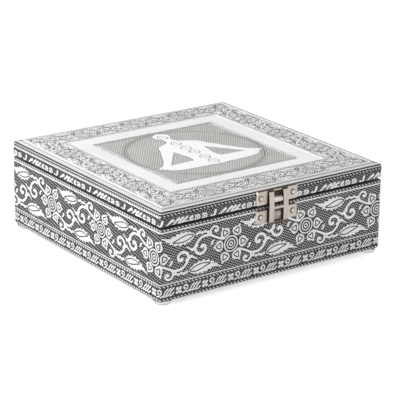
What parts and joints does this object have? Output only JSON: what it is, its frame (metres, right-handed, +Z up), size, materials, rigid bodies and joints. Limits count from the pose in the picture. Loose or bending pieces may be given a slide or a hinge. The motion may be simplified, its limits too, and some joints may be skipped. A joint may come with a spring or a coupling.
{
  "type": "rosary box",
  "caption": "Square lidded box clad in embossed white metal, with a hasp, hinges, a velvet lining and small feet, for a rosary or keepsakes.",
  "frame": {"origin": "on the plane that the feet rest on, under the middle of the whole part, latch and hinge barrels included", "axes": "+Z up, -Y out of the front with the hasp, +X to the right seen from the front"},
  "size_m": [0.203, 0.208, 0.0714],
  "materials": {
    "board": "matte",
    "embossed_metal": "antiqued satin",
    "bright_metal": "satin",
    "velvet": "matte",
    "clear_foot": "gloss",
    "latch_nickel": "satin",
    "hinge_steel": "satin"
  },
  "bodies": {
    "base": {"bottom_panel": "board", "front_wall": "board", "back_wall": "board", "left_wall": "board", "right_wall": "board", "base_cladding": "embossed_metal", "floor_lining": "velvet", "front_lining": "velvet", "back_lining": "velvet", "left_lining": "velvet", "right_lining": "velvet", "front_left_foot": "clear_foot", "front_right_foot": "clear_foot", "back_left_foot": "clear_foot", "back_right_foot": "clear_foot", "left_hinge_base_leaf": "hinge_steel", "right_hinge_base_leaf": "hinge_steel", "left_hinge_pin": "hinge_steel", "right_hinge_pin": "hinge_steel", "hinge_base_screws": "hinge_steel", "lower_latch_plate": "latch_nickel", "lower_latch_nails": "latch_nickel", "hasp_pin": "latch_nickel"},
    "hasp": {"hasp": "latch_nickel"},
    "lid": {"lid_board": "board", "lid_front_rail": "board", "lid_back_rail": "board", "lid_left_rail": "board", "lid_right_rail": "board", "lid_cladding": "embossed_metal", "front_border_strip": "embossed_metal", "back_border_strip": "embossed_metal", "left_border_strip": "embossed_metal", "right_border_strip": "embossed_metal", "bevel_frame": "bright_metal", "centre_plate": "bright_metal", "lid_lining": "velvet", "left_hinge_lid_leaf": "hinge_steel", "right_hinge_lid_leaf": "hinge_steel", "hinge_lid_screws": "hinge_steel", "upper_latch_plate": "latch_nickel", "upper_latch_nails": "latch_nickel"}
  },
  "joints": [
    {"name": "lid_hinge", "type": "hinge", "parent": "base", "child": "lid", "pos_m": [0, 0.10218, 0.0585], "axis": [-1, 0, 0], "range_deg": [0, 105]},
    {"name": "hasp_hinge", "type": "hinge", "parent": "base", "child": "hasp", "pos_m": [0, -0.10262, 0.0451], "axis": [1, 0, 0], "range_deg": [0, 165]}
  ]
}
